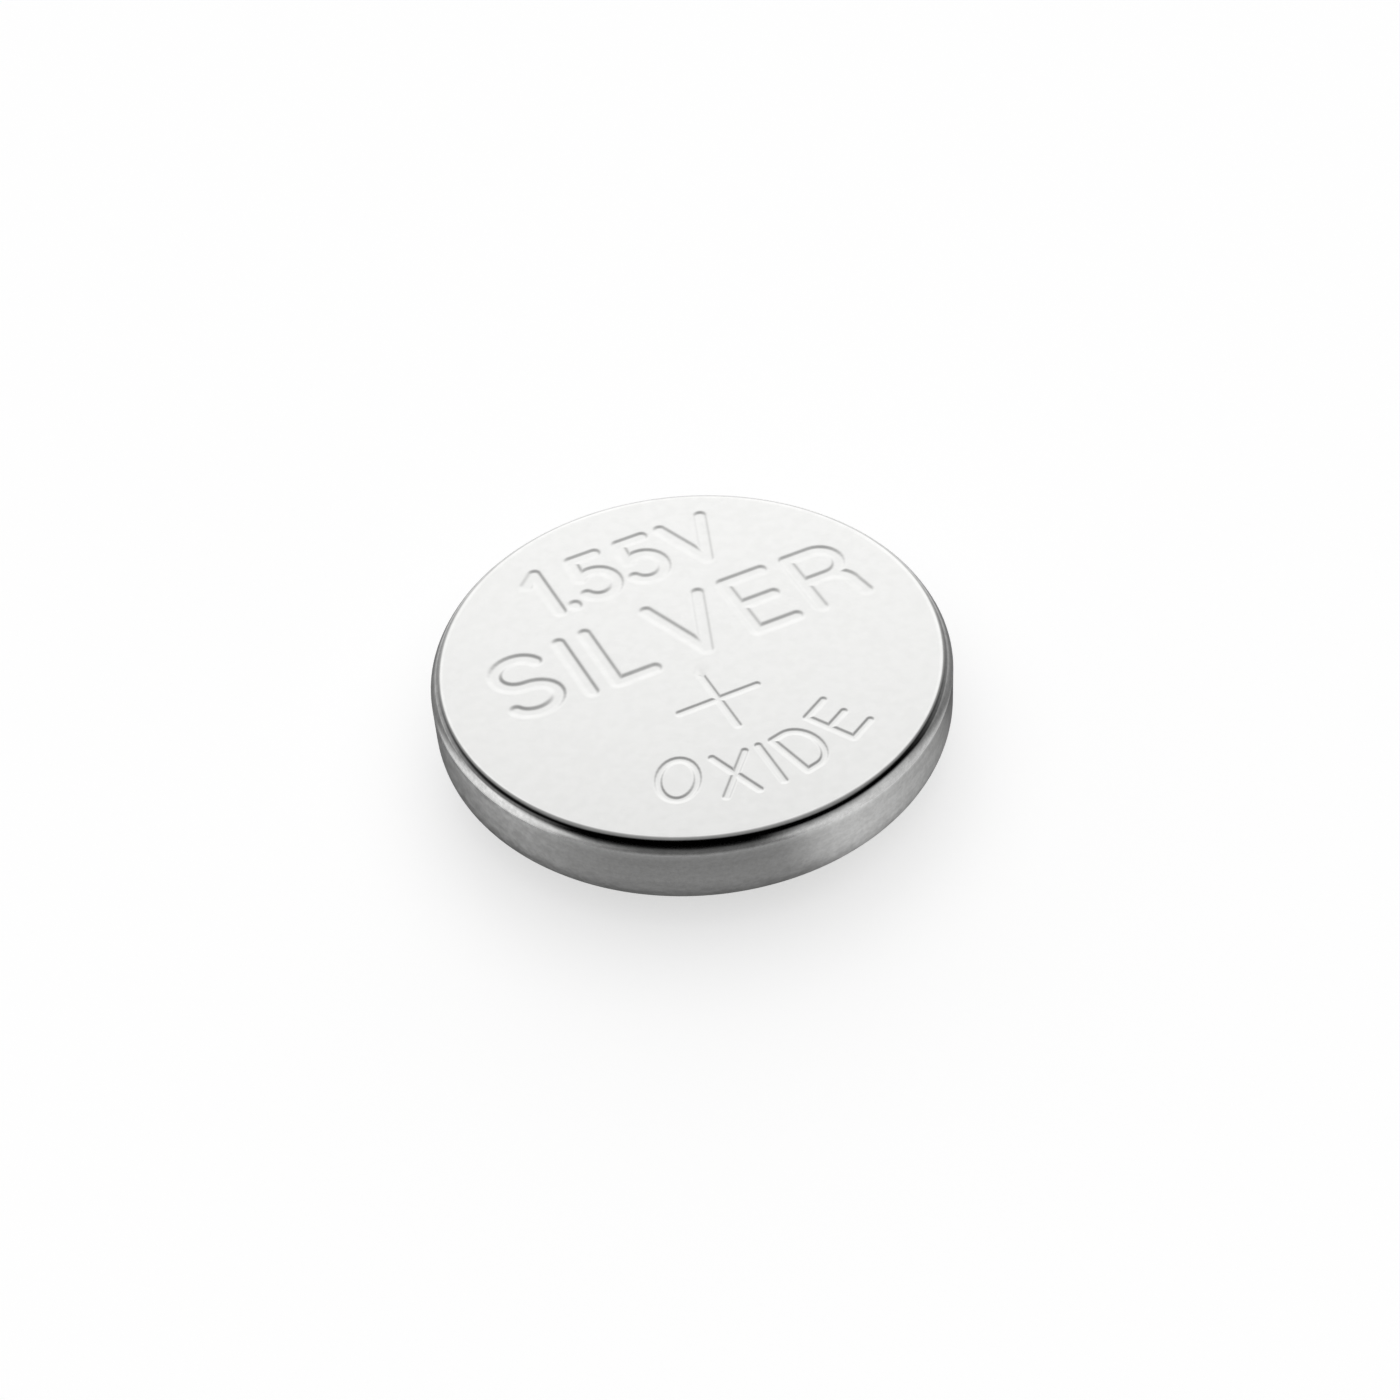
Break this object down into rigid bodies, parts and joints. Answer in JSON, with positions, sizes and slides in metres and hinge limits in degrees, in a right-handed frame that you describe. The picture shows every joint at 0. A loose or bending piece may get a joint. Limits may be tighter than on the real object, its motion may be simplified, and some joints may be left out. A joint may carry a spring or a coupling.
{
  "type": "silver oxide button cell",
  "caption": "Small round primary cell: a flat steel can as positive terminal, curled over a nylon seal that holds a stepped negative cap.",
  "frame": {"origin": "centre of the negative terminal's flat, on the plane that the cell rests on", "axes": "+Z along the cell's axis, out of the positive face; the cell is round, and +X runs along the stamped lines on that face"},
  "size_m": [0.0058, 0.0058, 0.0012],
  "materials": {
    "can_metal": "satin nickel plating on steel, brushed round the side wall",
    "cathode_powder": "pressed powder, near black",
    "membrane": "thin laminated film",
    "seal_nylon": "natural nylon with a film of sealant",
    "pad_fabric": "non-woven pad, wet",
    "anode_gel": "grey zinc powder in gel",
    "cap_metal": "satin nickel face of the clad sheet"
  },
  "bodies": {
    "root": {"positive_can": "can_metal", "cathode_pellet": "cathode_powder", "separator": "membrane", "sealing_gasket": "seal_nylon", "absorbent_pad": "pad_fabric", "zinc_anode": "anode_gel", "negative_cap": "cap_metal"}
  },
  "joints": []
}
